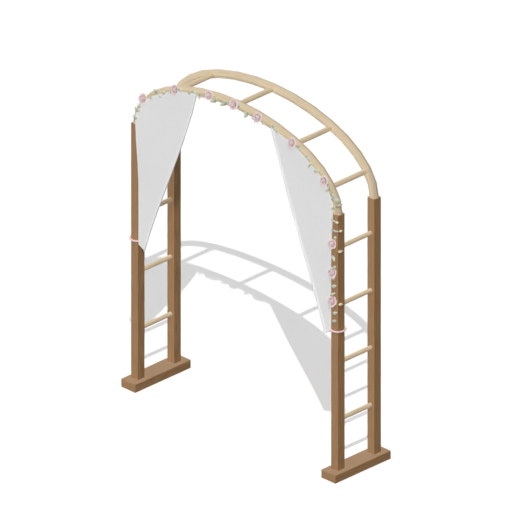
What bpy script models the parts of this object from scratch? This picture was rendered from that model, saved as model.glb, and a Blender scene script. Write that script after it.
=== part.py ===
"""Garden wedding arch, in metres, with +Z up.

Two pairs of square posts stand on timber foot beams and carry two bent hoops. Rungs tie the
posts of each side, bars tie the hoops, and two drapes and a silk rose garland dress the front.
The origin is on the ground under the middle of the arch. X runs across the walkway, with the
left side at -X, and the front faces -Y.
"""

import math

import bmesh
import bpy
from mathutils import Matrix, Vector

# Frame
SPAN = 2.040
DEPTH = 0.370
POST_SIDE = 0.070
POST_TOP = 2.130
POST_ROUNDING = 0.0025
FOOT_WIDTH = 0.145
FOOT_LENGTH = 0.568
FOOT_HEIGHT = 0.067
FOOT_ROUNDING = 0.005
CLEARANCE = 0.0003

# Stub tenons that locate the posts in the foot beams
TENON_SIDE = 0.040
TENON_LENGTH = 0.035

# Side rungs, let into blind sockets in the posts
RUNG_DIAMETER = 0.034
RUNG_FIRST = 0.460
RUNG_PITCH = 0.4633
RUNG_COUNT = 4
RUNG_SOCKET = 0.016

# Hoops, half ellipses on the post tops, each with a spigot at both ends
HOOP_DIAMETER = 0.066
HOOP_RISE = 0.512
HOOP_SEGMENTS = 40
SPIGOT_DIAMETER = 0.030
SPIGOT_LENGTH = 0.060
SHOULDER = 0.0001

# Bars between the hoops
BAR_DIAMETER = 0.039
BAR_PLACES = (-0.950, -0.600, 0.0, 0.600, 0.950)
BAR_SOCKET = 0.014

# Tie rings round the front posts
RING_RADIUS = 0.056
RING_THICKNESS = 0.014
RING_HEIGHT = 1.197

# Drapes: the outline of the right one as X and Z, which the left one mirrors
DRAPE_THICKNESS = 0.003
DRAPE_OUTER_TOP = 1.009
DRAPE_INNER_TOP = 0.376
DRAPE_FREE_EDGE = ((0.541, 2.120), (0.6965, 1.752), (0.927, 1.126))
DRAPE_OUTER_EDGE = ((0.9735, 1.180), (0.974, 1.810), (0.992, 2.000))
DRAPE_LEAN = math.radians(0.40)

# Garland: distances along the front hoop from its left foot, then on down the right post
VINE_DIAMETER = 0.006
VINE_START = 0.018
VINE_END = 3.345
VINE_STEP = 0.030
VINE_JOIN_GAP = 0.0008
VINE_END_OFFSET = 0.006
VINE_TAIL = 0.120
HOOP_SWAY = -0.010
POST_SWAY = 0.018
HOOP_ROSE_SPACING = (-0.970, -0.600, -0.247, 0.0, 0.247, 0.600, 0.970)
POST_ROSE_HEIGHTS = (1.902, 1.6695, 1.437)
HOOP_ROSE_OFFSET = 0.022
HOOP_VINE_OFFSET = 0.014
POST_ROSE_OFFSET = -0.008
POST_VINE_OFFSET = -0.008
ROSE_RADIUS = 0.040
ROSE_DEPTH = 0.031
ROSE_SEAT = 0.010
LEAF_LENGTH = 0.036
LEAF_HALF_WIDTH = 0.0105
LEAF_FLATNESS = 0.22
LEAF_SHIFT = 0.016
LEAF_REACH = 0.044
# Each leaf's middle, chosen by hand: distance along the garland and distance outwards from its
# front, both in mm
LEAF_PLACES = (
    (68, -6), (144, 10), (188, 24), (352, -8), (416, 26), (456, -20), (508, 4), (574, 0), (698, 6),
    (784, 0), (836, 16), (884, -18), (1046, -8), (1132, -12), (1296, 28), (1360, -20),
    (1424, -12), (1546, 0), (1644, 16), (1692, 2), (1908, 28), (2000, 24), (2048, -8), (2120, 8),
    (2266, 28), (2290, 4), (2324, 30), (2360, 42), (2400, 52), (2416, 4), (2512, 10), (2592, 18),
    (2640, 14), (2752, 52), (2820, -6), (2872, 10), (2998, -6), (3044, 8), (3104, 0), (3188, 52),
    (3260, 14), (3330, 2),
)

HALF_SPAN = SPAN / 2
HALF_DEPTH = DEPTH / 2
HOOP_RADIUS = HOOP_DIAMETER / 2
VINE_RADIUS = VINE_DIAMETER / 2
SIDES = (("left", -1), ("right", 1))
ROWS = (("front", -1), ("back", 1))

PARTS = None
CUTTERS = None


def make_collection(name):
    """Make a collection and link it to the scene."""
    collection = bpy.data.collections.new(name)
    bpy.context.scene.collection.children.link(collection)
    return collection


def make_material(name, colour, roughness):
    """Make a Principled material without metal."""
    material = bpy.data.materials.new(name)
    material.use_nodes = True
    shader = material.node_tree.nodes["Principled BSDF"]
    shader.inputs["Base Color"].default_value = (*colour, 1.0)
    shader.inputs["Roughness"].default_value = roughness
    shader.inputs["Metallic"].default_value = 0.0
    material.diffuse_color = (*colour, 1.0)
    return material


def link_part(name, data, material):
    """Make the named object of a sub-part."""
    part = bpy.data.objects.new(name, data)
    PARTS.objects.link(part)
    part.data.materials.append(material)
    return part


def link_cutter(name, data):
    """Make an object that only cuts or guides."""
    cutter = bpy.data.objects.new(name, data)
    CUTTERS.objects.link(cutter)
    cutter.hide_render = True
    cutter.display_type = "WIRE"
    return cutter


def mesh_from(bm, name):
    """Turn a bmesh into mesh data, shaded smooth between its sharp edges."""
    mesh = bpy.data.meshes.new(name)
    bm.to_mesh(mesh)
    bm.free()
    mesh.shade_smooth()
    mesh.set_sharp_from_angle(angle=math.radians(35))
    return mesh


def add_block(bm, size, centre):
    """Add a box to a bmesh."""
    place = Matrix.Translation(centre) @ Matrix.Diagonal((*size, 1.0))
    bmesh.ops.create_cube(bm, size=1.0, matrix=place)


def add_rod(bm, radius, start, end, segments):
    """Add a round bar between two points to a bmesh."""
    start, end = Vector(start), Vector(end)
    turn = (end - start).to_track_quat("Z", "Y").to_matrix().to_4x4()
    place = Matrix.Translation((start + end) / 2) @ turn
    bmesh.ops.create_cone(bm, cap_ends=True, cap_tris=False, segments=segments, radius1=radius,
                          radius2=radius, depth=(end - start).length, matrix=place)


def boolean(part, operand, operation):
    """Cut a part with an object, or join the object to it."""
    modifier = part.modifiers.new(operation.title(), "BOOLEAN")
    modifier.operation = operation
    modifier.solver = "EXACT"
    modifier.object = operand


def tube_curve(name, points, radius, bevel_resolution, radii=None):
    """Make a round tube along a list of points, as a curve with filled caps."""
    curve = bpy.data.curves.new(name, "CURVE")
    curve.dimensions = "3D"
    curve.bevel_depth = radius
    curve.bevel_resolution = bevel_resolution
    curve.use_fill_caps = True
    spline = curve.splines.new("POLY")
    spline.points.add(len(points) - 1)
    for index, point in enumerate(points):
        spline.points[index].co = (*point, 1.0)
        spline.points[index].radius = radii[index] if radii else 1.0
    return curve


def curve_as_mesh(curve):
    """Turn a curve into mesh data whose caps are welded to its walls."""
    holder = bpy.data.objects.new(curve.name, curve)
    CUTTERS.objects.link(holder)
    graph = bpy.context.evaluated_depsgraph_get()
    mesh = bpy.data.meshes.new_from_object(holder.evaluated_get(graph))
    bpy.data.objects.remove(holder)
    bm = bmesh.new()
    bm.from_mesh(mesh)
    bmesh.ops.remove_doubles(bm, verts=bm.verts, dist=0.00001)
    bmesh.ops.recalc_face_normals(bm, faces=bm.faces)
    bpy.data.meshes.remove(mesh)
    return mesh_from(bm, curve.name)


def rung_heights():
    """List the heights of the rungs of one side."""
    return [RUNG_FIRST + RUNG_PITCH * index for index in range(RUNG_COUNT)]


def hoop_height(x):
    """Give the height of the hoops' centre line at a place across the arch."""
    return POST_TOP + HOOP_RISE * math.sqrt(max(0.0, 1.0 - (x / HALF_SPAN) ** 2))


def build_foot(side, sign, timber):
    """Foot beam under the two posts of a side, with a mortise for each."""
    bm = bmesh.new()
    add_block(bm, (FOOT_WIDTH, FOOT_LENGTH, FOOT_HEIGHT), (0, 0, FOOT_HEIGHT / 2))
    foot = link_part(f"{side}_foot_beam", mesh_from(bm, f"{side}_foot_beam"), timber)
    foot.location = (sign * HALF_SPAN, 0, 0)
    rounding = foot.modifiers.new("Rounding", "BEVEL")
    rounding.width = FOOT_ROUNDING
    rounding.segments = 2

    bm = bmesh.new()
    side_length = TENON_SIDE + 2 * CLEARANCE
    depth = TENON_LENGTH + CLEARANCE
    for _, row in ROWS:
        centre = (0, row * HALF_DEPTH, FOOT_HEIGHT + CLEARANCE)
        add_block(bm, (side_length, side_length, 2 * depth), centre)
    mortises = link_cutter(f"{side}_mortises", mesh_from(bm, f"{side}_mortises"))
    mortises.location = foot.location
    boolean(foot, mortises, "DIFFERENCE")


def post_mesh(name):
    """Square post with rounded edges and a stub tenon, standing on its own shoulder."""
    height = POST_TOP - FOOT_HEIGHT - CLEARANCE
    bm = bmesh.new()
    add_block(bm, (POST_SIDE, POST_SIDE, height), (0, 0, height / 2))
    bmesh.ops.bevel(bm, geom=bm.edges[:], offset=POST_ROUNDING, segments=2, profile=0.5,
                    affect="EDGES")
    shoulder = min(bm.faces, key=lambda face: face.calc_center_median().z)
    bmesh.ops.inset_region(bm, faces=[shoulder], thickness=(POST_SIDE - TENON_SIDE) / 4)
    for corner in shoulder.verts:
        corner.co.x = math.copysign(TENON_SIDE / 2, corner.co.x)
        corner.co.y = math.copysign(TENON_SIDE / 2, corner.co.y)
    tenon = bmesh.ops.extrude_face_region(bm, geom=[shoulder])
    corners = [item for item in tenon["geom"] if isinstance(item, bmesh.types.BMVert)]
    bmesh.ops.translate(bm, verts=corners, vec=(0, 0, -TENON_LENGTH))
    bmesh.ops.delete(bm, geom=[shoulder], context="FACES_ONLY")
    bmesh.ops.recalc_face_normals(bm, faces=bm.faces)
    return mesh_from(bm, name)


def build_post(side, sign, row_name, row, timber):
    """Post of a side, with rung sockets in its inner face and a spigot hole in its top."""
    name = f"{side}_{row_name}_post"
    post = link_part(name, post_mesh(name), timber)
    base = FOOT_HEIGHT + CLEARANCE
    post.location = (sign * HALF_SPAN, row * HALF_DEPTH, base)

    bm = bmesh.new()
    inner_face = -row * POST_SIDE / 2
    bottom = inner_face + row * (RUNG_SOCKET + CLEARANCE)
    outside = inner_face - row * RUNG_SOCKET
    for height in rung_heights():
        level = height - base
        add_rod(bm, RUNG_DIAMETER / 2 + CLEARANCE, (0, bottom, level), (0, outside, level), 16)
    top = POST_TOP - base
    add_rod(bm, SPIGOT_DIAMETER / 2 + CLEARANCE, (0, 0, top - SPIGOT_LENGTH - CLEARANCE),
            (0, 0, top + SPIGOT_LENGTH), 16)
    sockets = link_cutter(f"{name}_sockets", mesh_from(bm, f"{name}_sockets"))
    sockets.location = post.location
    boolean(post, sockets, "DIFFERENCE")


def build_rungs(side, sign, timber):
    """Ladder rungs between the front and back posts of a side."""
    reach = HALF_DEPTH - POST_SIDE / 2 + RUNG_SOCKET
    for index, height in enumerate(rung_heights(), start=1):
        name = f"{side}_rung_{index}"
        bm = bmesh.new()
        add_rod(bm, RUNG_DIAMETER / 2, (0, -reach, 0), (0, reach, 0), 16)
        rung = link_part(name, mesh_from(bm, name), timber)
        rung.location = (sign * HALF_SPAN, 0, height)


def hoop_points():
    """Points and tube radii of a hoop from its left spigot to its right one."""
    seat = POST_TOP + CLEARANCE
    slim = SPIGOT_DIAMETER / HOOP_DIAMETER
    turns = [math.pi * index / HOOP_SEGMENTS for index in range(1, HOOP_SEGMENTS)]
    arc = [Vector((-HALF_SPAN * math.cos(turn), 0, POST_TOP + HOOP_RISE * math.sin(turn)))
           for turn in turns]
    foot = [(-SPIGOT_LENGTH, slim), (-SHOULDER, slim), (0.0, 1.0), (SHOULDER * 30, 1.0)]
    left = [Vector((-HALF_SPAN, 0, seat + level)) for level, _ in foot]
    right = [Vector((HALF_SPAN, 0, seat + level)) for level, _ in reversed(foot)]
    radii = [radius for _, radius in foot]
    return left + arc + right, radii + [1.0] * len(arc) + radii[::-1]


def build_hoop(row_name, row, timber):
    """Bent hoop on the two posts of a row, with sockets for the bars on its inner side."""
    name = f"{row_name}_hoop"
    points, radii = hoop_points()
    mesh = curve_as_mesh(tube_curve(name, points, HOOP_RADIUS, 6, radii))
    hoop = link_part(name, mesh, timber)
    hoop.location = (0, row * HALF_DEPTH, 0)

    bm = bmesh.new()
    inner_side = -row * HOOP_RADIUS
    bottom = inner_side + row * (BAR_SOCKET + CLEARANCE)
    outside = inner_side - row * BAR_SOCKET
    for x in BAR_PLACES:
        z = hoop_height(x)
        add_rod(bm, BAR_DIAMETER / 2 + CLEARANCE, (x, bottom, z), (x, outside, z), 16)
    sockets = link_cutter(f"{name}_sockets", mesh_from(bm, f"{name}_sockets"))
    sockets.location = hoop.location
    boolean(hoop, sockets, "DIFFERENCE")


def build_bars(timber):
    """Straight bars between the hoops, left to right."""
    reach = HALF_DEPTH - HOOP_RADIUS + BAR_SOCKET
    for index, x in enumerate(BAR_PLACES, start=1):
        name = f"top_bar_{index}"
        bm = bmesh.new()
        add_rod(bm, BAR_DIAMETER / 2, (0, -reach, 0), (0, reach, 0), 16)
        bar = link_part(name, mesh_from(bm, name), timber)
        bar.location = (x, 0, hoop_height(x))


def build_ring(side, sign, ribbon):
    """Tie ring that grips the corners of a front post."""
    bpy.ops.mesh.primitive_torus_add(
        major_radius=RING_RADIUS, minor_radius=RING_THICKNESS / 2, major_segments=32,
        minor_segments=8, location=(sign * HALF_SPAN, -HALF_DEPTH, RING_HEIGHT))
    ring = bpy.context.object
    ring.name = f"{side}_tie_ring"
    ring.data.name = ring.name
    for holder in ring.users_collection:
        holder.objects.unlink(ring)
    PARTS.objects.link(ring)
    ring.data.materials.append(ribbon)
    ring.data.shade_smooth()


def drape_outline(sign):
    """Closed outline of a drape as X and Z, from its inner top corner outwards."""
    places = [DRAPE_INNER_TOP + (DRAPE_OUTER_TOP - DRAPE_INNER_TOP) * step / 16
              for step in range(17)]
    top = [(x, hoop_height(x)) for x in places]
    outer = [(x, z) for x, z in reversed(DRAPE_OUTER_EDGE)]
    free = list(reversed(DRAPE_FREE_EDGE))
    return [(sign * x, z) for x, z in top + outer + free]


def build_drape(side, sign, voile):
    """Drape that hangs from the front of the hoop and narrows to the tie ring."""
    outline = drape_outline(sign)
    pivot = hoop_height(DRAPE_INNER_TOP)
    curve = bpy.data.curves.new(f"{side}_drape", "CURVE")
    curve.dimensions = "2D"
    curve.fill_mode = "BOTH"
    curve.extrude = DRAPE_THICKNESS / 2
    spline = curve.splines.new("POLY")
    spline.points.add(len(outline) - 1)
    for point, (x, z) in zip(spline.points, outline):
        point.co = (x, z - pivot, 0, 1)
    spline.use_cyclic_u = True
    drape = link_part(f"{side}_drape", curve_as_mesh(curve), voile)
    drape.rotation_euler = (math.radians(90) - DRAPE_LEAN, 0, 0)
    back = -HALF_DEPTH - HOOP_RADIUS - CLEARANCE
    drape.location = (0, back - DRAPE_THICKNESS / 2, pivot)


def hoop_table():
    """Distances along a hoop's centre line and the angles that they belong to."""
    count = 400
    table = [(0.0, 0.0)]
    last = Vector((-HALF_SPAN, 0.0))
    for index in range(1, count + 1):
        turn = math.pi * index / count
        point = Vector((-HALF_SPAN * math.cos(turn), HOOP_RISE * math.sin(turn)))
        table.append((table[-1][0] + (point - last).length, turn))
        last = point
    return table


HOOP_TABLE = hoop_table()
HOOP_LENGTH = HOOP_TABLE[-1][0]


def centre_and_outward(distance):
    """Centre line point of the hoop, or of the right post below it, and the outward side."""
    if distance >= HOOP_LENGTH:
        drop = distance - HOOP_LENGTH
        return Vector((HALF_SPAN, -HALF_DEPTH, POST_TOP - drop)), Vector((1, 0, 0))
    for (near, near_turn), (far, far_turn) in zip(HOOP_TABLE, HOOP_TABLE[1:]):
        if distance <= far:
            share = (distance - near) / (far - near)
            turn = near_turn + (far_turn - near_turn) * share
            break
    centre = Vector((-HALF_SPAN * math.cos(turn), -HALF_DEPTH,
                     POST_TOP + HOOP_RISE * math.sin(turn)))
    outward = Vector((-math.cos(turn) * HOOP_RISE, 0, math.sin(turn) * HALF_SPAN))
    return centre, outward.normalized()


def rose_stations():
    """Distance of each rose along the garland, and the outward offsets of rose and vine there."""
    crown = HOOP_LENGTH / 2
    on_hoop = [(crown + spacing, HOOP_ROSE_OFFSET, HOOP_VINE_OFFSET)
               for spacing in HOOP_ROSE_SPACING]
    on_post = [(HOOP_LENGTH + POST_TOP - height, POST_ROSE_OFFSET, POST_VINE_OFFSET)
               for height in POST_ROSE_HEIGHTS]
    return on_hoop + on_post


def vine_offset(distance):
    """Outward offset of the vine, which sways to one side between one rose and the next."""
    stations = [(place, vine) for place, _, vine in rose_stations()]
    first, first_offset = stations[0]
    last, last_offset = stations[-1]
    if distance <= first:
        return VINE_END_OFFSET + (first_offset - VINE_END_OFFSET) * (distance / first) ** 2
    if distance >= last:
        share = min(1.0, (distance - last) / VINE_TAIL)
        return last_offset + (VINE_END_OFFSET - last_offset) * share
    for (near, near_offset), (far, far_offset) in zip(stations, stations[1:]):
        if distance <= far:
            share = (distance - near) / (far - near)
            break
    sway = HOOP_SWAY if far_offset > 0 else POST_SWAY
    level = near_offset + (far_offset - near_offset) * share * share * (3 - 2 * share)
    return level + sway * math.sin(math.pi * share) ** 2


def vine_point(distance):
    """Centre of the vine, which lies on the front of the hoop and then of the post."""
    centre, outward = centre_and_outward(distance)
    offset = vine_offset(distance)
    reach = HOOP_RADIUS + VINE_RADIUS + CLEARANCE
    on_hoop = math.sqrt(reach ** 2 - offset ** 2)
    on_post = POST_SIDE / 2 + VINE_RADIUS + CLEARANCE
    share = min(1.0, max(0.0, (distance - HOOP_LENGTH + 0.06) / 0.05))
    return centre + outward * offset - Vector((0, on_hoop + (on_post - on_hoop) * share, 0))


def leaf_middle(distance, around):
    """Middle of a leaf and the way it faces: it bends round the outer side of the hoop."""
    centre, outward = centre_and_outward(distance)
    facing = Vector((0, -1, 0))
    if around <= 0 or distance >= HOOP_LENGTH:
        return centre + outward * around + facing * LEAF_REACH, facing
    turn = around / LEAF_REACH
    facing = facing * math.cos(turn) + outward * math.sin(turn)
    return centre + facing * LEAF_REACH, facing


def add_leaf(bm, base, tip, facing):
    """Add a leaf: a sphere's rings spread into a flat blade on a thin stalk."""
    ring = bmesh.ops.create_uvsphere(bm, u_segments=6, v_segments=6, radius=1.0)
    length = (tip - base).length
    stalk = max(0.0, 1.0 - LEAF_LENGTH / length)
    along = (tip - base).normalized()
    across = along.cross(facing).normalized()
    outer = across.cross(along)
    for vertex in ring["verts"]:
        share = (1 + vertex.co.z) / 2
        spread = Vector((vertex.co.x, vertex.co.y))
        width = 0.0
        if spread.length > 0.001:
            spread.normalize()
            blade = max(0.0, (share - stalk) / (1 - stalk))
            width = max(VINE_RADIUS * 0.45, LEAF_HALF_WIDTH * math.sin(math.pi * blade ** 0.8))
        vertex.co = (base + along * (length * share) + across * (spread.x * width)
                     + outer * (spread.y * width * LEAF_FLATNESS))


def build_vine(name, start, end, greenery):
    """One length of the garland's vine with its leaves."""
    count = max(2, round((end - start) / VINE_STEP))
    stops = [start + (end - start) * index / count for index in range(count + 1)]
    curve = tube_curve(name, [vine_point(stop) for stop in stops], VINE_RADIUS, 1)
    vine = link_part(name, curve_as_mesh(curve), greenery)

    bm = bmesh.new()
    for distance, around in LEAF_PLACES:
        distance, around = distance / 1000, around / 1000
        if not start < distance < end:
            continue
        base = vine_point(max(start + VINE_RADIUS, distance - LEAF_SHIFT))
        middle, facing = leaf_middle(distance, around)
        base += facing * (VINE_RADIUS * 0.4)
        add_leaf(bm, base, middle + (middle - base).normalized() * LEAF_LENGTH * 0.45, facing)
    leaves = link_cutter(f"{name}_leaves", mesh_from(bm, f"{name}_leaves"))
    boolean(vine, leaves, "UNION")
    vine.modifiers["Union"].use_self = True


def rose_mesh():
    """Half section of a full rose, from the tip of its heart to the middle of its back."""
    profile = ((0.0, 0.96), (0.26, 1.0), (0.38, 0.78), (0.55, 0.98), (0.72, 0.68), (0.94, 0.86),
               (1.0, 0.66), (0.86, 0.38), (0.56, 0.16), (0.22, 0.0), (0.0, 0.0))
    mesh = bpy.data.meshes.new("rose_profile")
    points = [(radius * ROSE_RADIUS, 0, depth * ROSE_DEPTH) for radius, depth in profile]
    edges = [(index, index + 1) for index in range(len(points) - 1)]
    mesh.from_pydata(points, edges, [])
    return mesh


def build_roses(petals):
    """Roses on the vine, each facing the front with its back on the stem."""
    mesh = rose_mesh()
    for index, (distance, offset, _) in enumerate(rose_stations(), start=1):
        rose = link_part(f"rose_{index}", mesh if index == 1 else mesh.copy(), petals)
        if index > 1:
            rose.data.materials.pop(index=0)
        centre, outward = centre_and_outward(distance)
        place = centre + outward * offset
        stem = [vine_point(distance + shift).y for shift in (-ROSE_SEAT, 0.0, ROSE_SEAT)]
        place.y = min(stem) - VINE_RADIUS - CLEARANCE
        rose.location = place
        rose.rotation_euler = (math.radians(90), 0, 0)
        turned = rose.modifiers.new("Turned", "SCREW")
        turned.steps = 12
        turned.render_steps = 12
        turned.use_merge_vertices = True
        turned.merge_threshold = 0.00005


def main():
    """Build every sub-part of the arch."""
    global PARTS, CUTTERS
    for item in list(bpy.data.objects):
        bpy.data.objects.remove(item, do_unlink=True)
    PARTS = make_collection("garden_wedding_arch")
    CUTTERS = make_collection("cutters")

    stained = make_material("stained_timber", (0.33, 0.19, 0.10), 0.55)
    bent = make_material("bent_pale_timber", (0.64, 0.51, 0.33), 0.50)
    voile = make_material("white_voile", (0.85, 0.85, 0.84), 0.80)
    ribbon = make_material("pink_ribbon", (0.83, 0.55, 0.60), 0.45)
    greenery = make_material("sage_silk_leaf", (0.42, 0.55, 0.38), 0.70)
    petals = make_material("pink_silk_petal", (0.77, 0.56, 0.60), 0.65)

    for side, sign in SIDES:
        build_foot(side, sign, stained)
        for row_name, row in ROWS:
            build_post(side, sign, row_name, row, stained)
        build_rungs(side, sign, bent)
        build_ring(side, sign, ribbon)
        build_drape(side, sign, voile)
    for row_name, row in ROWS:
        build_hoop(row_name, row, bent)
    build_bars(bent)

    joins = (VINE_START, HOOP_LENGTH / 2 - 0.120, HOOP_LENGTH - 0.008, VINE_END)
    names = ("garland_vine_left", "garland_vine_right", "garland_vine_post")
    for name, start, end in zip(names, joins, joins[1:]):
        build_vine(name, start, end - VINE_JOIN_GAP, greenery)
    build_roses(petals)


main()
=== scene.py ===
"""The looks of a garden wedding arch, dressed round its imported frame.

Metres, +Z up, with the origin on the ground under the middle of the arch. X runs across the
walkway and the front faces -Y. The square posts and foot beams are the frame's own solids in a
stained finish. Every other piece is a surface worked out here as whole arrays, in the place of
the solid that it replaces; the roses alone hang a little under theirs and look up.
"""

import logging
import math
from collections.abc import Callable, Sequence
from dataclasses import dataclass, replace
from enum import Enum
from functools import partial

import bpy
import numpy as np
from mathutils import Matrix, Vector


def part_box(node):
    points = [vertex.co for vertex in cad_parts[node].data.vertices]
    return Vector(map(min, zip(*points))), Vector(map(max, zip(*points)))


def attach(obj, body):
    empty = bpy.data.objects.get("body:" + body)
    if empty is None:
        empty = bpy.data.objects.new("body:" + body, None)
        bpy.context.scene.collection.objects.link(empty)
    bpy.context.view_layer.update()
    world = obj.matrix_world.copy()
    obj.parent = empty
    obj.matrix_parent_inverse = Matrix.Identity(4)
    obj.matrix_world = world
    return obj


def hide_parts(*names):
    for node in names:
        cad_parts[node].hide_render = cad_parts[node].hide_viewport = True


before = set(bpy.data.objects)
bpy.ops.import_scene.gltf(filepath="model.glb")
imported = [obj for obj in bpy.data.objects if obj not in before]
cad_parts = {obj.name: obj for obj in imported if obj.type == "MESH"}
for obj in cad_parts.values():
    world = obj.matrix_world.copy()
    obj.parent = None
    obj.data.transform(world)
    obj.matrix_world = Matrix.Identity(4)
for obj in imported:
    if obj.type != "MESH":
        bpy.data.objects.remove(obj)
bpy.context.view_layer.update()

LOG = logging.getLogger("garden_wedding_arch")
BODY = "root"
MM = 0.001
TURN = 2 * math.pi
FRONT = np.array([0.0, -1.0, 0.0])
UP = np.array([0.0, 0.0, 1.0])
SIDES = (("left", -1), ("right", 1))
ROWS = (("front", -1), ("back", 1))

Array = np.ndarray
Piece = bpy.types.Object
Socket = bpy.types.NodeSocket
Adder = Callable[..., Socket]


class Ends(Enum):
    """How a surface that closes round its columns is closed at its first and last rows."""

    POINT = "a fan to the middle of the row"
    STITCH = "the two halves of the row joined across"
    RING = "the last row joined to the first"


class Grain(Enum):
    """Where a timber finish finds the straight log that its pattern is cut from."""

    UPRIGHT = "object coordinates, with the log along Z"
    LENGTHWISE = "object coordinates, with the log along Y"
    PATTERN = "the piece's own pattern attribute, with the log along its third value"


def unit(vectors: Array) -> Array:
    """Scale vectors to length one."""
    return vectors / np.maximum(np.linalg.norm(vectors, axis=-1, keepdims=True), 1e-12)


def joined(*parts: Array | float) -> Array:
    """Join separate values into one array of places, which has them along its last axis."""
    return np.stack(np.broadcast_arrays(*parts), axis=-1)


def blend(first: Array | float, second: Array | float, share: Array) -> Array:
    """Go a share of the way from the first to the second."""
    return first + (second - first) * share


def ease(values: Array, start: Array | float = 0.0, end: Array | float = 1.0) -> Array:
    """Ease from 0 at start to 1 at end: 3v^2 - 2v^3, with v the share of the way between."""
    share = np.clip((values - start) / (end - start), 0.0, 1.0)
    return share * share * (3 - 2 * share)


def curve(start: Array | float, bend: Array | float, end: Array | float, share: Array) -> Array:
    """Follow the curve (1-t)^2 start + 2 t (1-t) bend + t^2 end, with t the share."""
    return (1 - share) ** 2 * start + 2 * share * (1 - share) * bend + share ** 2 * end


def between(places: Array, keys: Array, stops: Array) -> Array:
    """Go in straight lines from stop to stop, each of which is reached at its key."""
    return joined(*(np.interp(places, keys, part) for part in stops.T))


def travelled(path: Array) -> Array:
    """Give each row's distance from the first one, along a path or each column of a grid."""
    steps = np.linalg.norm(np.diff(path, axis=0), axis=-1)
    return np.concatenate([np.zeros_like(steps[:1]), np.cumsum(steps, axis=0)])


def turns_of(columns: int) -> Array:
    """Give equal turns round a section, in radians."""
    return np.arange(columns) * TURN / columns


@dataclass
class Skin:
    """One closed surface on a grid, whose rows each close on themselves.

    Attributes:
        points: rows x columns x 3 places in metres.
        pattern: rows x columns x 3 coordinates that the finish reads.
        ends: how the first and last rows are closed.
    """

    points: Array
    pattern: Array
    ends: Ends = Ends.POINT

    def closed(self) -> tuple[Array, Array, Array]:
        """Join the points by faces, close the ends and turn the faces outwards.

        The sign of the enclosed volume, the sum of a . (b x c) / 6 over the triangles, says
        which way the faces point.

        Returns:
            Points x 6 places and pattern coordinates, four-sided faces and three-sided ones.
        """
        both = np.concatenate([self.points, self.pattern], axis=-1)
        rows, columns = both.shape[:2]
        grid, index = both.reshape(-1, 6), np.arange(rows * columns).reshape(rows, columns)
        body = np.vstack([index, index[:1]]) if self.ends is Ends.RING else index
        ahead = np.roll(body, -1, axis=1)
        quads = joined(body[:-1], ahead[:-1], ahead[1:], body[1:]).reshape(-1, 4)
        fans = np.empty((0, 3), dtype=int)
        if self.ends is Ends.STITCH:
            for row, order in ((index[0], (1, 0, 3, 2)), (index[-1], (0, 1, 2, 3))):
                near, far = row[:columns // 2], row[::-1][:columns // 2]
                across = joined(near[:-1], near[1:], far[1:], far[:-1])
                quads = np.vstack([quads, across[:, order]])
        if self.ends is Ends.POINT:
            fans = np.vstack([joined(ahead[0], index[0], len(grid)),
                              joined(index[-1], ahead[-1], len(grid) + 1)])
            grid = np.vstack([grid, both[0].mean(axis=0), both[-1].mean(axis=0)])
        split = grid[np.vstack([quads[:, [0, 1, 2]], quads[:, [0, 2, 3]], fans]), :3]
        if np.einsum("ij,ij->", split[:, 0], np.cross(split[:, 1], split[:, 2])) < 0:
            quads, fans = quads[:, ::-1], fans[:, ::-1]
        return grid, quads, fans


def carried_circle(path: Array, reference: Array, radius: Array, columns: int,
                   closed: bool = False) -> Skin:
    """Carry a circle along a path: path + radius (cos a outward + sin a sideways).

    Sideways is the path's tangent, the difference of the neighbouring points, crossed with the
    reference, and outward is the part of the reference that is square to the tangent.

    Args:
        path: points x 3.
        reference: the direction that outward stays nearest to.
        radius: one for each point, or one for each point and column.
        columns: the number of points round the circle.
        closed: whether the path closes on itself.

    Returns:
        The skin, whose pattern is the same grid in a straight log: across, across and along.
    """
    along = np.gradient(path, axis=0)
    if closed:
        along = np.roll(path, -1, axis=0) - np.roll(path, 1, axis=0)
    side = unit(np.cross(unit(along), reference))
    outward = np.cross(side, unit(along))
    reach = np.reshape(radius, (len(path), -1))
    right, up = reach * np.cos(turns_of(columns)), reach * np.sin(turns_of(columns))
    points = path[:, None] + right[..., None] * outward[:, None] + up[..., None] * side[:, None]
    return Skin(points, joined(right, up, travelled(path)[:, None]))


def mesh_of(name: str, skins: Sequence[Skin], crease: float) -> bpy.types.Mesh:
    """Join closed surfaces into one mesh with a pattern attribute.

    Args:
        name: the mesh's name.
        skins: the surfaces.
        crease: the angle in degrees above which an edge shows as sharp.

    Returns:
        The mesh.
    """
    grids, quads, fans, start = [], [], [], 0
    for skin in skins:
        grid, four, three = skin.closed()
        grids.append(grid)
        quads += (four + start).tolist()
        fans += (three + start).tolist()
        start += len(grid)
    places, pattern = np.split(np.concatenate(grids), 2, axis=1)
    mesh = bpy.data.meshes.new(name)
    mesh.from_pydata(places.tolist(), [], quads + fans)
    attribute = mesh.attributes.new("pattern", "FLOAT_VECTOR", "POINT")
    attribute.data.foreach_set("vector", pattern.astype(np.float32).ravel())
    mesh.validate()
    mesh.shade_smooth()
    mesh.set_sharp_from_angle(angle=math.radians(crease))
    return mesh


def two_faced(front: Array, back: Array, pattern: Array) -> Skin:
    """Close a sheet from its two faces: each row goes along the front and returns by the back."""
    points = np.concatenate([front, back[:, ::-1]], axis=1)
    return Skin(points, np.concatenate([pattern, pattern[:, ::-1]], axis=1), Ends.STITCH)


def blade_grid(rows: int, columns: int) -> Sequence[Array]:
    """Give a blade's places across, from -1 to 1, and along, from 0 to 1, on a grid."""
    return np.meshgrid(np.linspace(-1.0, 1.0, columns), np.linspace(0.0, 1.0, rows))


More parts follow.
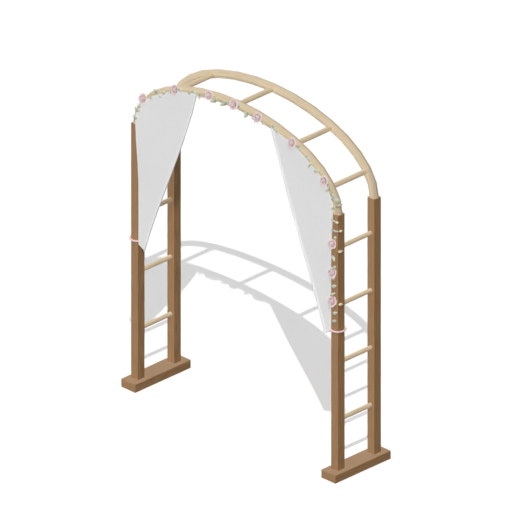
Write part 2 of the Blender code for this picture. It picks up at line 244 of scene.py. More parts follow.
def thin_blade(middle: Array, pattern: Array, thickness: float) -> Skin:
    """Give a thin curved blade its thickness, half to each side along the surface's normal.

    The normal is the cross product of the differences along the rows and along the columns.

    Args:
        middle: rows x columns x 3 points of the blade's middle surface.
        pattern: the coordinates that its finish reads.
        thickness: in metres.

    Returns:
        The closed blade.
    """
    normal = unit(np.cross(np.gradient(middle, axis=1), np.gradient(middle, axis=0)))
    return two_faced(middle + normal * thickness / 2, middle - normal * thickness / 2, pattern)


def linear(colour: str) -> tuple[float, ...]:
    """Turn an sRGB hex colour into the linear one that shaders read."""
    parts = [int(colour[place:place + 2], 16) / 255 for place in (1, 3, 5)]
    return *(part / 12.92 if part <= 0.04045 else ((part + 0.055) / 1.055) ** 2.4
             for part in parts), 1.0


def add_node(tree: bpy.types.NodeTree, kind: str, *inputs: object, output: str = "",
             **settings: object) -> Socket:
    """Add a node with its settings and links.

    Args:
        tree: the node tree.
        kind: the node's type, without its ShaderNode prefix.
        inputs: for each input in use, in order, its value, the output that feeds it, or None.
        output: the name of the output that is wanted, if not the first in use.
        settings: the node's own options.

    Returns:
        That output.
    """
    node = tree.nodes.new("ShaderNode" + kind)
    for name, value in settings.items():
        setattr(node, name, value)
    for socket, value in zip([socket for socket in node.inputs if socket.enabled], inputs):
        if isinstance(value, Socket):
            tree.links.new(value, socket)
        elif value is not None:
            socket.default_value = value
    return next(socket for socket in node.outputs
                if socket.enabled and output in ("", socket.name))


@dataclass(frozen=True)
class Finish:
    """A surface finish on one Principled shader, to which each kind adds its pattern.

    Attributes:
        name: the real material, by how it was made.
        light, dark: its two main colours, as sRGB hex.
        roughness, ior: its mean roughness and its index of refraction.
        sheen: the strength of the soft glow of standing fibres.
    """

    name: str
    light: str
    dark: str
    roughness: float
    ior: float = 1.5
    sheen: float = 0.0

    def material(self) -> bpy.types.Material:
        """Make the material once.

        Returns:
            The new material, or the one that is already made.
        """
        if self.name in bpy.data.materials:
            return bpy.data.materials[self.name]
        material = bpy.data.materials.new(self.name)
        material.use_nodes = True
        material.diffuse_color = linear(self.light)
        tree = material.node_tree
        shader = tree.nodes["Principled BSDF"]
        for name, value in {"Base Color": linear(self.light), "Roughness": self.roughness,
                            "IOR": self.ior, "Sheen Weight": self.sheen,
                            "Sheen Roughness": 0.4}.items():
            shader.inputs[name].default_value = value
        for name, socket in self.pattern(partial(add_node, tree)).items():
            tree.links.new(socket, shader.inputs[name])
        return material

    def pattern(self, add: Adder) -> dict[str, Socket]:
        """Add the pattern's nodes and give what feeds the shader; a plain finish has none."""
        return {}


@dataclass(frozen=True)
class Timber(Finish):
    """Sawn, bent or turned timber: growth rings cut from a log, fibres along it, and blotches.

    Attributes:
        grain: where the log's coordinates come from.
        pith: where the log's middle lies from the piece's own middle.
        middle: the piece's middle in the frame, which object coordinates are taken from.
        ring_mm, fibre_mm: the width of one year's growth and of one streak of fibres.
        contrast: how far the pattern goes from the light colour to the dark one.
        shares: how much of that the rings, the fibres and the blotches make.
        arris: half the piece's size each way, whose sharp edges are paled, or None.
        edge_mm, wear_and_highlight: how wide and how pale those edges get: rubbed bare, with a
            painted highlight along the arris.
        dust_and_sheen: the pale colour of the faces that look up: a dusty film, with a painted
            sheen for the brighter reflection that tops catch.
        gloss: how far the roughness goes up and down along the fibres.
    """

    grain: Grain = Grain.PATTERN
    pith: tuple[float, float] = (0.03, 0.02)
    middle: tuple[float, ...] = (0.0, 0.0, 0.0)
    ring_mm: float = 6.0
    fibre_mm: float = 2.0
    contrast: float = 0.6
    shares: tuple[float, float, float] = (0.45, 1.1, 0.7)
    arris: tuple[float, ...] | None = None
    edge_mm: float = 4.0
    wear_and_highlight: float = 0.45
    dust_and_sheen: str = "#DBCAB6"
    gloss: float = 0.08

    def pattern(self, add: Adder) -> dict[str, Socket]:
        """Add the rings, fibres and blotches.

        The rings are a sine wave of the distance from the pith, one wave a year. The log is bent
        a little by a slow noise, and a fibre is noise thirty times as long as it is wide.

        Args:
            add: adds a node to the material.

        Returns:
            What feeds the shader's inputs.
        """
        if self.grain is Grain.PATTERN:
            local = add("Attribute", output="Vector", attribute_name="pattern")
        else:
            local = add("Mapping", add("TexCoord", output="Object"),
                        [-part for part in self.middle])
        turned = math.pi / 2 * (self.grain is Grain.LENGTHWISE)
        log = add("Mapping", local, (*self.pith, 0.0), (turned, 0.0, 0.0))
        drift = add("TexNoise", log, 1.6, 1.0, output="Color")
        bent = add("VectorMath", drift, (0.05, 0.05, 0.0), log, operation="MULTIPLY_ADD")
        flat = add("VectorMath", bent, (1.0, 1.0, 0.0), operation="MULTIPLY")
        radius = add("VectorMath", flat, operation="LENGTH")
        years = add("Math", radius, TURN / (self.ring_mm * MM), operation="MULTIPLY")
        wave = add("Math", years, operation="SINE")
        growth = add("MapRange", wave, -0.2, 1.0, interpolation_type="SMOOTHSTEP")
        drawn = add("VectorMath", bent, (1.0, 1.0, 0.033), operation="MULTIPLY")
        fibre = add("TexNoise", drawn, 0.5 / (self.fibre_mm * MM), 3.0)
        blotch = add("TexNoise", log, 5.0, 2.0)
        rings, streaks, stains = (share * self.contrast for share in self.shares)
        ringed = add("Math", growth, rings, 0.5 - rings, operation="MULTIPLY_ADD")
        streaked = add("Math", fibre, streaks, -streaks / 2, operation="MULTIPLY_ADD")
        stained = add("Math", blotch, stains, -stains / 2, operation="MULTIPLY_ADD")
        both = add("Math", ringed, streaked)
        depth = add("Math", both, stained, use_clamp=True)
        tone = add("Mix", depth, linear(self.light), linear(self.dark), data_type="RGBA")
        if self.arris:
            tone = self.paled_edges_and_tops(add, local, tone)
        return {"Base Color": tone,
                "Roughness": add("MapRange", fibre, 0.25, 0.75, self.roughness - self.gloss,
                                 self.roughness + self.gloss),
                "Normal": add("Bump", 0.5, 0.25 * MM, None, both)}

    def paled_edges_and_tops(self, add: Adder, local: Socket, tone: Socket) -> Socket:
        """Pale the sharp edges, rubbed bare and with a painted highlight, and the faces that look
        up, with a dusty film and a painted sheen.

        An edge is paled where two of the piece's faces are near at once, so where the middle one
        of the three distances to a face is small.

        Args:
            add: adds a node to the material.
            local: the coordinates from the piece's middle.
            tone: the timber's colour.

        Returns:
            The colour with the painted highlight on its edges and the painted sheen on its tops,
            over the rubbing and the dusty film.
        """
        span = add("VectorMath", local, operation="ABSOLUTE")
        inset = add("VectorMath", self.arris, span, operation="SUBTRACT")
        across, deep, high = add("SeparateXYZ", inset).node.outputs
        low = add("Math", across, deep, operation="MINIMUM")
        top = add("Math", across, deep, operation="MAXIMUM")
        held = add("Math", top, high, operation="MINIMUM")
        second = add("Math", low, held, operation="MAXIMUM")
        # Paler sharp edges: rubbed bare, and a painted highlight along the arris
        wear_and_highlight = add("MapRange", second, self.edge_mm * MM, 0.5 * MM, 0.0, self.wear_and_highlight,
                   interpolation_type="SMOOTHSTEP")
        paled = add("Mix", wear_and_highlight, tone, linear(self.light), data_type="RGBA")
        # Paler faces that look up: a dusty film, and a painted sheen of the light that tops catch
        facing = add("SeparateXYZ", add("TexCoord", output="Normal"), output="Z")
        dusty_sheen = add("MapRange", facing, 0.7, 0.95, 0.0, 0.12)
        return add("Mix", dusty_sheen, paled, linear(self.dust_and_sheen), data_type="RGBA")


@dataclass(frozen=True)
class Voile(Finish):
    """Plain-woven cloth with a few thicker threads, and paler hems with a row of stitches.

    Attributes:
        thread_mm, stitch_mm: the spacing of the threads and of the stitches.
        hem_mm, seam_mm: the width of the hems, and how far within them the stitches run.
        double: the colour of two layers and of the sewing thread.
    """

    thread_mm: float = 1.2
    stitch_mm: float = 24.0
    hem_mm: float = 22.0
    seam_mm: float = 3.0
    double: str = "#E6E6E5"

    def pattern(self, add: Adder) -> dict[str, Socket]:
        """Add the weave, slubs and stitches.

        The weave is the product of two sine waves, one across and one down. A slub is noise
        that is drawn out along a thread. The pattern's third value is the distance to the edge.

        Args:
            add: adds a node to the material.

        Returns:
            What feeds the shader's inputs.
        """
        place = add("Attribute", output="Vector", attribute_name="pattern")
        across, down, rim = add("SeparateXYZ", place).node.outputs
        waves, slubs = [], []
        for run, stretch in ((across, (420.0, 14.0, 0.0)), (down, (14.0, 420.0, 0.0))):
            turn = add("Math", run, TURN / (self.thread_mm * MM), operation="MULTIPLY")
            waves.append(add("Math", turn, operation="SINE"))
            drawn = add("VectorMath", place, stretch, operation="MULTIPLY")
            slubs.append(add("TexNoise", drawn, 1.0, 1.0))
        slub = add("MapRange", add("Math", *slubs), 0.7, 1.3)
        step = add("Math", down, TURN / (self.stitch_mm * MM), operation="MULTIPLY")
        dash = add("MapRange", add("Math", step, operation="SINE"), -0.3, 0.1)
        off = add("Math", rim, (self.hem_mm - self.seam_mm) * MM, operation="SUBTRACT")
        away = add("Math", off, operation="ABSOLUTE")
        stitch = add("Math", add("MapRange", away, 1.8 * MM, 1.0 * MM), dash,
                     operation="MULTIPLY")
        thread = add("Math", stitch, 0.6, operation="MULTIPLY")
        hem = add("MapRange", rim, (self.hem_mm + 0.5) * MM, (self.hem_mm - 0.5) * MM, 0.0, 0.1)
        pale = add("Math", hem, thread, operation="MAXIMUM")
        woven = add("Mix", slub, linear(self.light), linear(self.dark), data_type="RGBA")
        weave = add("Math", *waves, operation="MULTIPLY")
        raised = add("Math", weave, 0.3, slub, operation="MULTIPLY_ADD")
        relief = add("Math", raised, stitch, operation="SUBTRACT")
        return {"Base Color": add("Mix", pale, woven, linear(self.double), data_type="RGBA"),
                "Normal": add("Bump", 0.2, 0.2 * MM, None, relief)}


@dataclass(frozen=True)
class Satin(Finish):
    """Satin ribbon wound slantwise: fine warp threads along it, and painted shade at each lap.

    Attributes:
        thread_mm: the spacing of the warp threads.
    """

    thread_mm: float = 0.8

    def pattern(self, add: Adder) -> dict[str, Socket]:
        """Add the threads and the painted shade in each lap.

        The pattern's first value runs across a lap from 0 to 1, and the second along the ribbon.

        Args:
            add: adds a node to the material.

        Returns:
            What feeds the shader's inputs.
        """
        place = add("Attribute", output="Vector", attribute_name="pattern")
        drawn = add("VectorMath", place, (12.0, 90.0, 0.0), operation="MULTIPLY")
        thread = add("TexNoise", drawn, 1 / self.thread_mm, 2.0)
        # Painted shade along each lap, next to the step where it stands over the one before
        lap = add("MapRange", add("SeparateXYZ", place), 0.16, 0.0,
                  interpolation_type="SMOOTHSTEP")
        depth = add("Math", thread, 0.5, lap, operation="MULTIPLY_ADD", use_clamp=True)
        tone = add("Mix", depth, linear(self.light), linear(self.dark), data_type="RGBA")
        return {"Base Color": tone, "Normal": add("Bump", 0.4, 0.1 * MM, None, thread)}


@dataclass(frozen=True)
class Blade(Finish):
    """Dyed silk cut to a petal or a leaf: veins, painted shade at the base, a pale edge and
    mottling.

    Attributes:
        veins, slant: the veins on a side, and how far one runs to the tip per half width.
        base, shade: how much painted shade darkens the base, and how far up that reaches.
        edge: how much of the light colour the rim takes.
        heart_shade_and_tone: how much darker the pattern's third value makes a piece: painted
            shade in a rose's heart, and each leaf's own tone.
    """

    veins: float = 7.0
    slant: float = 0.5
    base: float = 0.7
    shade: float = 0.6
    edge: float = 0.4
    heart_shade_and_tone: float = 0.0

    def pattern(self, add: Adder) -> dict[str, Socket]:
        """Add the veins, the painted shade at the base and in the heart, the edge and the
        mottling.

        The pattern's first value is the place across from -1 to 1, the second the place along
        from 0 at the base to 1 at the tip, and the third is the piece's own share. A vein is
        where along less slant times |across| is a whole number of vein spacings.

        Args:
            add: adds a node to the material.

        Returns:
            What feeds the shader's inputs.
        """
        place = add("Attribute", output="Vector", attribute_name="pattern")
        across, along, own = add("SeparateXYZ", place).node.outputs
        wide = add("Math", across, operation="ABSOLUTE")
        lean = add("Math", wide, -self.slant, along, operation="MULTIPLY_ADD")
        turn = add("Math", lean, TURN * self.veins, operation="MULTIPLY")
        vein = add("MapRange", add("Math", turn, operation="COSINE"), 0.55, 1.0, 0.0, 0.3)
        rib = add("MapRange", wide, 0.12, 0.0, 0.0, 0.35)
        lines = add("Math", vein, rib, operation="MAXIMUM")
        dyed = add("TexNoise", place, 3.5, 2.0)
        # Painted shade: darker towards the base of each petal, leaf and sepal, where they tuck
        # under
        depth = add("MapRange", along, self.shade, 0.05, 0.0, self.base,
                    interpolation_type="SMOOTHSTEP")
        # The third value darkens: painted shade in a rose's heart, and each leaf's own random
        # tone
        for part in (add("Math", dyed, 0.5, -0.2, operation="MULTIPLY_ADD"), lines,
                     add("MapRange", own, 0.9, 0.0, 0.0, self.heart_shade_and_tone)):
            depth = add("Math", depth, part, use_clamp=True)
        rim = add("MapRange", along, 0.82, 1.0, 0.0, self.edge)
        depth = add("Math", depth, rim, operation="SUBTRACT", use_clamp=True)
        tone = add("Mix", depth, linear(self.light), linear(self.dark), data_type="RGBA")
        return {"Base Color": tone,
                "Normal": add("Bump", 0.4, 0.3 * MM, None, lines, invert=True)}


@dataclass(frozen=True)
class Tape(Finish):
    """Florist's paper tape wound round a wire, or another small thing with a crinkled skin.

    Attributes:
        crinkle_mm: the spacing of the crinkles.
    """

    crinkle_mm: float = 3.0

    def pattern(self, add: Adder) -> dict[str, Socket]:
        """Add the crinkles, which are noise on the piece's place in the frame.

        Args:
            add: adds a node to the material.

        Returns:
            What feeds the shader's inputs.
        """
        crinkle = add("TexNoise", add("TexCoord", output="Object"),
                      1 / (self.crinkle_mm * MM), 2.0)
        tone = add("Mix", crinkle, linear(self.light), linear(self.dark), data_type="RGBA")
        return {"Base Color": tone, "Normal": add("Bump", 0.5, 0.4 * MM, None, crinkle)}


# Planed softwood under a brown stain: matt, with soft streaks, and paler edges and tops
# The paler edges are rubbed, with a painted highlight; the tops dusty, with a painted sheen
STAINED_SOFTWOOD = Timber("stained_planed_softwood", "#9C7852", "#785732", 0.6, ior=1.35,
                          ring_mm=9.0, fibre_mm=3.0)
# Planed and turned ash under clear oil: straight pale grain with a low gloss
PLANED_ASH = Timber("planed_oiled_ash", "#CDBB9F", "#B3A080", 0.5, ior=1.35, ring_mm=7.0,
                    fibre_mm=2.5, pith=(0.055, 0.03), contrast=0.55)
TURNED_ASH = Timber("turned_oiled_ash", "#D8C5A6", "#B7A07D", 0.5, ior=1.35, ring_mm=5.0,
                    fibre_mm=2.0, pith=(0.028, 0.012), contrast=0.55)
# Cotton voile: even, matt and slightly grey-white, and paler where it is double. Real threads
# are 0.4 mm apart and stitches 3 mm long, too fine to show, so both are drawn coarser
WHITE_VOILE = Voile("woven_cotton_voile", "#D6D6D6", "#D2D2D2", 0.9, sheen=0.15)
# Double-faced polyester satin ribbon: a soft shine along the ring
PINK_SATIN = Satin("wound_satin_ribbon", "#E2C6C7", "#CBA1AA", 0.38, sheen=0.2)
# Dyed silk petals: matt with a soft glow, with painted shade at each petal's base and the heart
PINK_SILK = Blade("dyed_silk_petal", "#DDCACB", "#7A6A70", 0.75, sheen=0.1, veins=9.0, slant=0.1,
                  base=1.0, shade=0.85, edge=0.3, heart_shade_and_tone=0.2)
# Starched silk leaves: sage with a paler rim, pressed veins and painted shade at the base
SAGE_SILK = Blade("starched_silk_leaf", "#CCCEB9", "#6F8272", 0.7, sheen=0.1, veins=5.0,
                  slant=0.35, base=0.6, edge=0.3, heart_shade_and_tone=0.3)
# Wire under florist's paper tape: dull yellow-green on the hoop, and brown on the brown post
GREEN_TAPE = Tape("green_taped_florist_wire", "#B2B488", "#92966A", 0.75)
BROWN_TAPE = Tape("brown_taped_florist_wire", "#A08A5E", "#836C41", 0.75)
# Cream silk rolled into a bud
CREAM_SILK = Tape("rolled_silk_bud", "#EBE2C0", "#CDBF8F", 0.7, sheen=0.1, crinkle_mm=5.0)
# Matt painted board under the arch
PALE_BOARD = Finish("matt_painted_board", "#FBFBFB", "#FBFBFB", 0.95, ior=1.1)


def place_piece(name: str, skins: Sequence[Skin], finish: Finish,
                replaces: str = "", crease: float = 35.0) -> Piece:
    """Put a piece into the scene, riding on the frame.

    Args:
        name: the piece's name.
        skins: its closed surfaces.
        finish: its finish.
        replaces: the frame's node that it stands for, if it does.
        crease: the angle in degrees above which an edge shows as sharp.

    Returns:
        The new object, at the origin with its place in its mesh.
    """
    piece = bpy.data.objects.new(name, mesh_of(name, skins, crease))
    bpy.context.scene.collection.objects.link(piece)
    piece.data.materials.append(finish.material())
    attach(piece, BODY)
    if replaces:
        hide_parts(replaces)
    return piece


def corners_of(node: str) -> tuple[Array, Array]:
    """Give a frame node's lowest and highest corners."""
    low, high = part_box(node)
    return np.array(low), np.array(high)


@dataclass(frozen=True)
class Arch:
    """The lines that every sub-assembly is set out from, in metres."""

    half_span: float = 1.020
    half_depth: float = 0.185
    post_side: float = 0.070
    post_top: float = 2.130
    hoop_rise: float = 0.512
    hoop_lengths: int = 16
    hoop_radius: float = 0.033
    hoop_flat: float = 0.0312
    clearance: float = 0.0003

    def ellipse(self, turns: Array, y: float = 0.0) -> Array:
        """Give points of the half ellipse (-span cos t, y, top + rise sin t)."""
        return joined(-self.half_span * np.cos(turns), y,
                      self.post_top + self.hoop_rise * np.sin(turns))

    def joints(self) -> tuple[Array, Array]:
        """Give the equal turns and the points where the straight lengths of a hoop meet."""
        stops = np.linspace(0.0, math.pi, self.hoop_lengths + 1)
        return stops, self.ellipse(stops)

    def hoop_line(self, turns: Array) -> Array:
        """Give points of the hoops' centre line, which goes straight from joint to joint."""
        return between(turns, *self.joints())

    def hoop_height(self, across: Array) -> Array:
        """Give the height of the hoops' centre line at places across the arch."""
        _, joints = self.joints()
        return np.interp(across, joints[:, 0], joints[:, 2])

    def hoop_face(self, aside: Array, above: float = 0.0) -> Array:
        """Give how far the hoops' eight-sided skin stands to the front or back.

        It is the lower of the round arris, the root of radius squared less aside squared, and
        the flat next to it, (flat - aside sin 22.5) / cos 22.5.

        Args:
            aside: distances from the centre line, in the hoop's plane.
            above: the height over the skin.

        Returns:
            The distances from the hoop's plane.
        """
        lean = math.pi / 8
        arris = np.sqrt((self.hoop_radius + above) ** 2 - aside ** 2)
        flat = (self.hoop_flat + above - np.abs(aside) * math.sin(lean)) / math.cos(lean)
        return np.minimum(arris, flat)


ARCH = Arch()


@dataclass
class SideFrame:
    """One side: two square posts on a foot beam, tied by four turned rungs.

    Attributes:
        side, sign: left and -1, or right and 1.
        rungs: the number of rungs.
        tenon: the radius of a rung's end, which goes into the post's socket.
        rounding: the width of the small round at a shoulder or an end.
        columns: the number of points round a rung.
    """

    side: str
    sign: int
    rungs: int = 4
    tenon: float = 0.0155
    rounding: float = 0.0008
    columns: int = 48

    def build(self) -> list[Piece]:
        """Stain the posts and the foot beam, and turn the rungs.

        Returns:
            The rungs.
        """
        self.stain(f"{self.side}_foot_beam", Grain.LENGTHWISE, 0)
        for name, row in ROWS:
            self.stain(f"{self.side}_{name}_post", Grain.UPRIGHT, row)
        return [self.rung(number) for number in range(1, self.rungs + 1)]

    def stain(self, node: str, grain: Grain, row: int) -> None:
        """Stain a post or a foot beam, each cut from its own part of the log.

        Args:
            node: the frame's node.
            grain: the way that the log lies in it.
            row: -1 for the front, 1 for the back and 0 for the foot beam.
        """
        low, high = corners_of(node)
        if row:
            low[2] = corners_of(f"{self.side}_foot_beam")[1][2]
        pith = (0.052 + 0.012 * self.sign, 0.035 * self.sign + 0.014 * row)
        finish = replace(STAINED_SOFTWOOD, name=f"{STAINED_SOFTWOOD.name}_{node}", grain=grain,
                         pith=pith, middle=tuple((low + high) / 2),
                         arris=tuple((high - low) / 2))
        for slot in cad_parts[node].material_slots:
            slot.material = finish.material()

    def rung(self, number: int) -> Piece:
        """Turn a rung: a circle carried straight back, slimmer where it enters the posts.

        Args:
            number: its place from the ground, from 1.

        Returns:
            The rung.
        """
        node = f"{self.side}_rung_{number}"
        low, high = corners_of(node)
        radius, reach = (high[2] - low[2]) / 2, high[1]
        face = ARCH.half_depth - ARCH.post_side / 2 - ARCH.clearance
        ends = np.array([[reach, self.tenon - self.rounding],
                         [reach - self.rounding, self.tenon],
                         [face, self.tenon],
                         [face, radius - self.rounding],
                         [face - 0.3 * self.rounding, radius - 0.3 * self.rounding],
                         [face - self.rounding, radius]])
        body = np.linspace(-face + self.rounding, face - self.rounding, 15)[1:-1]
        stops = np.concatenate([-ends[:, 0], body, ends[::-1, 0]])
        radii = np.concatenate([ends[:, 1], np.full(len(body), radius), ends[::-1, 1]])
        path = (low + high) / 2 - stops[:, None] * FRONT
        skin = carried_circle(path, UP, radii, self.columns)
        skin.pattern += (0.0, 0.0, 0.7 * number + self.sign)
        return place_piece(f"turned_rung_{self.side}_{number}", [skin], TURNED_ASH,
                           node)


@dataclass
class HoopFrame:
    """Two hoops on the post tops, tied by five straight bars that are coped to them.

    Attributes:
        bars, bar_radius: the number of bars and their radius.
        spigot: heights over the post top and radii of a hoop's end, which goes into the post.
        glue_line: the width of the joint between two lengths of a hoop.
        columns: the number of points round a bar.
    """

    bars: int = 5
    bar_radius: float = 0.0195
    spigot: tuple[tuple[float, float], ...] = ((-0.060, 0.0139), (-0.059, 0.0149),
                                               (0.0, 0.0149), (0.0001, 0.0148))
    glue_line: float = 0.0003
    columns: int = 48

    def build(self) -> list[Piece]:
        """Join both hoops and fit the bars."""
        hoops = [self.hoop(name, row) for name, row in ROWS]
        return hoops + [self.bar(number) for number in range(1, self.bars + 1)]

    def hoop(self, name: str, row: int) -> Piece:
        """Join a hoop from straight eight-sided lengths, mitred end to end.

        A length is its section moved along the chord between two joints. Its ends slide along
        it by -(section . plane) / (chord . plane) to the planes that halve its corners, or to
        the level post top. Each length has its own stretch of grain.

        Args:
            name: front or back.
            row: -1 for the front and 1 for the back.

        Returns:
            The hoop.
        """
        joints = ARCH.joints()[1] - row * ARCH.half_depth * FRONT
        chords = unit(np.diff(joints, axis=0))
        planes = unit(np.vstack([UP, chords[:-1] + chords[1:], -UP]))
        angle, reach = self.section()
        right, up = reach * np.cos(angle), reach * np.sin(angle)
        share = np.array([0.0, 0.03, 0.5, 0.97, 1.0])[:, None, None]
        gap = self.glue_line * np.array([[0.5], [-0.5]])
        skins, (height, radius) = [], np.array(self.spigot).T
        for number, chord in enumerate(chords):
            ring = right[:, None] * FRONT + up[:, None] * np.cross(chord, FRONT)
            points = blend(joints[number], joints[number + 1], share) + ring
            cuts = planes[number:number + 2]
            slide = gap - (cuts @ ring.T) / (cuts @ chord)[:, None]
            points[[0, -1]] += slide[..., None] * chord
            along = (points - joints[number]) @ chord + 0.7 * number + 3.0 * row
            skins.append(Skin(points, joined(right * (-1) ** number, up, along)))
        for foot in (joints[0], joints[-1]):
            skins.append(carried_circle(foot + height[:, None] * UP, FRONT, radius, 24))
        return place_piece(f"mitred_hoop_{name}", skins, PLANED_ASH,
                           f"{name}_hoop", crease=30.0)

    def section(self) -> tuple[Array, Array]:
        """Set out the eight-sided section, whose arrises are rounded.

        A flat lies at flat / cos m, with m the angle from its middle, and is cut off where that
        passes the radius.

        Returns:
            The angles, with an arris at 0, and the radii.
        """
        edge = math.acos(ARCH.hoop_flat / ARCH.hoop_radius)
        within = np.array([-math.pi / 8, -edge, -0.94 * edge, 0.0, 0.94 * edge, edge])
        turned = math.pi / 4 * (np.arange(8)[:, None] + 0.5)
        reach = np.minimum(ARCH.hoop_flat / np.cos(within), ARCH.hoop_radius)
        return (turned + within).ravel(), np.tile(reach, 8)

    def bar(self, number: int) -> Piece:
        """Fit a bar, whose ends are hollowed to the round of the hoops.

        A point of the bar ends where the hoop's skin is at the same distance from the hoop's
        centre line.

        Args:
            number: its place from the left, from 1.

        Returns:
            The bar.
        """
        x, _, z = np.mean(corners_of(f"top_bar_{number}"), axis=0)
        shares = np.array([0.35, 0.7, 0.95, *np.ones(9), 0.95, 0.7, 0.35])[:, None]
        depths = np.clip(np.linspace(-1.75, 1.75, 15), -1.0, 1.0)[:, None]
        across = shares * self.bar_radius * np.cos(turns_of(self.columns))
        above = shares * self.bar_radius * np.sin(turns_of(self.columns))
        line = ARCH.hoop_line(np.linspace(0.0, math.pi, 1001))
        away = np.hypot(x + across[..., None] - line[:, 0],
                        z + above[..., None] - line[:, 2]).min(axis=-1)
        back = depths * (ARCH.half_depth - ARCH.clearance - ARCH.hoop_face(away))
        skin = Skin(joined(x + across, back, z + above),
                    joined(across, above, back + 0.9 * number))
        return place_piece(f"coped_bar_{number}", [skin], TURNED_ASH,
                           f"top_bar_{number}")


@dataclass
class TieRing:
    """The ring that a drape is tied to, wound all round with satin ribbon.

    Attributes:
        side: left or right.
        thickness: the ring's thickness over its ribbon.
        laps, lap_step: the laps of ribbon, and how far one stands over the one that it covers.
        rows, columns: the number of points round the ring and round its section.
    """

    side: str
    thickness: float = 0.014
    laps: int = 30
    lap_step: float = 0.0005
    rows: int = 420
    columns: int = 20

    def build(self) -> list[Piece]:
        """Wind the ring: a circle carried round a circle, stepped where a lap starts.

        A lap's share is the fraction of (laps x turn round the ring + turn round the section),
        and the section's radius falls with it.

        Returns:
            The ring.
        """
        node = f"{self.side}_tie_ring"
        low, high = corners_of(node)
        turn, column = np.arange(self.rows) / self.rows, np.arange(self.columns)
        radius = (high[0] - low[0] - self.thickness) / 2
        path = (low + high) / 2 + radius * joined(np.cos(TURN * turn), np.sin(TURN * turn), 0.0)
        share = (self.laps * turn[:, None] + column / self.columns) % 1.0
        radii = self.thickness / 2 - self.lap_step * share
        skin = Skin(carried_circle(path, UP, radii, self.columns, closed=True).points,
                    joined(share, column * self.thickness, 0.0), Ends.RING)
        return [place_piece(f"wound_ring_{self.side}", [skin], PINK_SATIN, node,
                            crease=50.0)]


